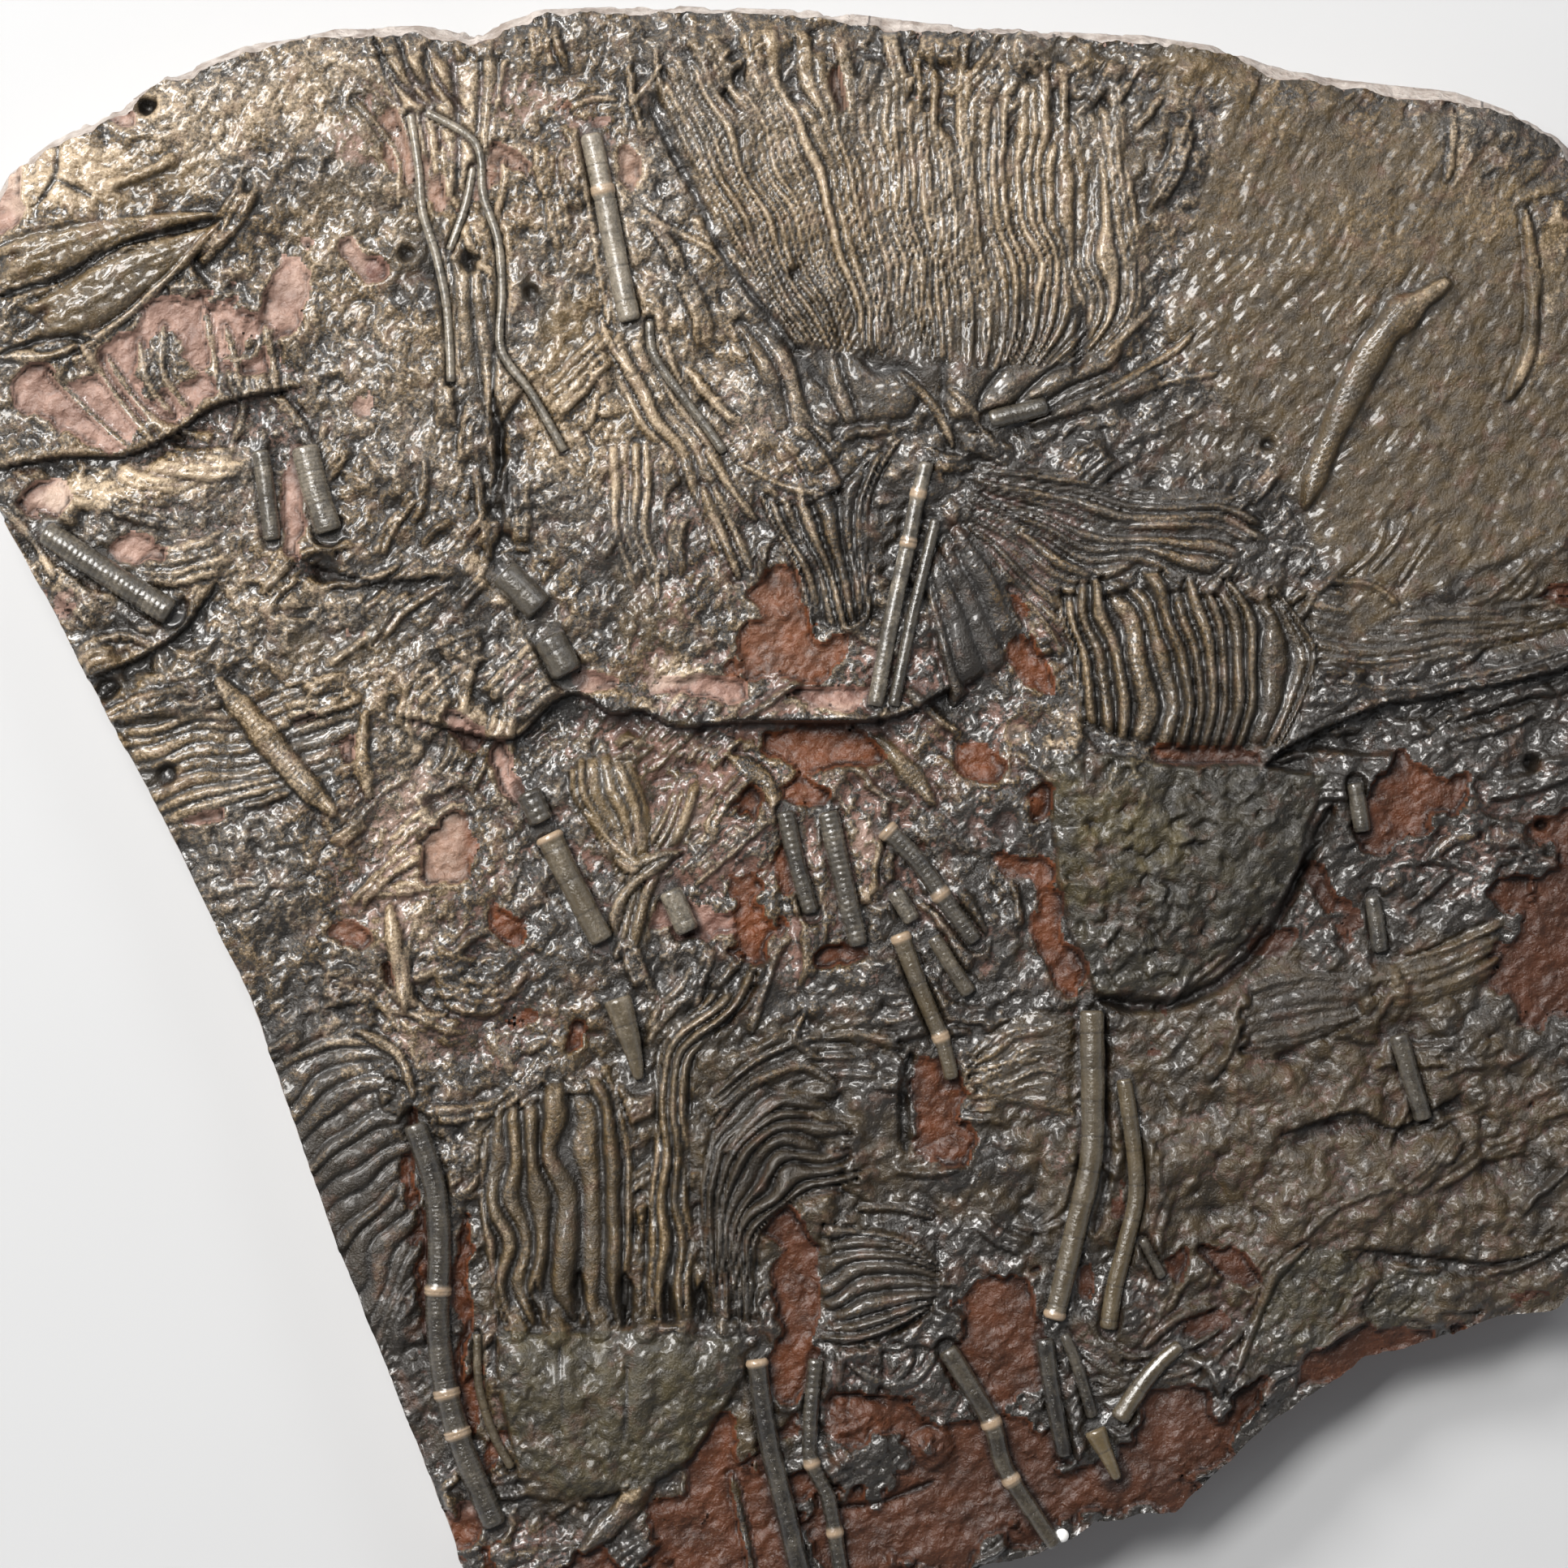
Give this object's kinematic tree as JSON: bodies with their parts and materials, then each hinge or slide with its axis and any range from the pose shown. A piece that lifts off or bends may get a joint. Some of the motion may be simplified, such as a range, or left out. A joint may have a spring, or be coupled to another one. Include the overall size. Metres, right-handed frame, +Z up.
{
  "type": "crinoid fossil slab",
  "caption": "Flat slab of red-brown siltstone crowded with fossil sea lilies: crowns of arms, cups and ribbed stems in dark glossy relief, to lie on a table or shelf",
  "frame": {"origin": "middle of the bounding box at the flat underside", "axes": "+X east along the slab's long side, +Y north towards the broken rim with the large crown, +Z up out of the fossil face"},
  "size_m": [0.44, 0.4096, 0.0343],
  "materials": {
    "siltstone": "matt red-brown siltstone, broken on three sides and sawn on one",
    "arm_calcite": "dark olive-brown varnished calcite arms",
    "stem_calcite": "grey-olive varnished calcite stems",
    "cup_calcite": "dark olive granular calcite cups"
  },
  "bodies": {
    "root": {"arm_claw": "stem_calcite", "arm_diagonal": "stem_calcite", "arm_fork_left": "stem_calcite", "arm_fork_middle": "stem_calcite", "arm_fork_right": "stem_calcite", "arm_mat_north_east": "arm_calcite", "arm_west_long": "stem_calcite", "arms_east": "arm_calcite", "calyx_cone": "cup_calcite", "calyx_south_west": "cup_calcite", "crown_centre": "arm_calcite", "crown_east_left": "arm_calcite", "crown_east_right": "arm_calcite", "crown_fan_small": "arm_calcite", "crown_harp": "arm_calcite", "crown_leaf_lower": "arm_calcite", "crown_leaf_upper": "arm_calcite", "crown_lying": "arm_calcite", "crown_north": "arm_calcite", "crown_small_west": "arm_calcite", "crown_south_west": "arm_calcite", "crown_swirl": "arm_calcite", "crown_wavy": "arm_calcite", "matrix_slab": "siltstone", "plate_oval": "cup_calcite", "plate_south_east": "cup_calcite", "ridge_north_east": "stem_calcite", "rod_north": "stem_calcite", "rod_west": "stem_calcite", "stem_broad_lower": "stem_calcite", "stem_broad_upper": "stem_calcite", "stem_cone": "stem_calcite", "stem_disc": "stem_calcite", "stem_double_main": "stem_calcite", "stem_double_side": "stem_calcite", "stem_east_lower": "stem_calcite", "stem_east_middle": "stem_calcite", "stem_east_upper": "stem_calcite", "stem_fork_end": "stem_calcite", "stem_fork_thick": "stem_calcite", "stem_fork_thin": "stem_calcite", "stem_mid_long": "stem_calcite", "stem_mid_ribbed": "stem_calcite", "stem_mid_short": "stem_calcite", "stem_mid_top": "stem_calcite", "stem_mid_west": "stem_calcite", "stem_north": "stem_calcite", "stem_nw_narrow": "stem_calcite", "stem_nw_wide": "stem_calcite", "stem_olive": "stem_calcite", "stem_olive_branch": "stem_calcite", "stem_recess_lower": "stem_calcite", "stem_recess_upper": "stem_calcite", "stem_south_east": "stem_calcite", "stem_south_long": "stem_calcite", "stem_south_mid": "stem_calcite", "stem_west_long": "stem_calcite", "stem_west_ribbed": "stem_calcite", "wedge_plate": "stem_calcite"}
  },
  "joints": []
}
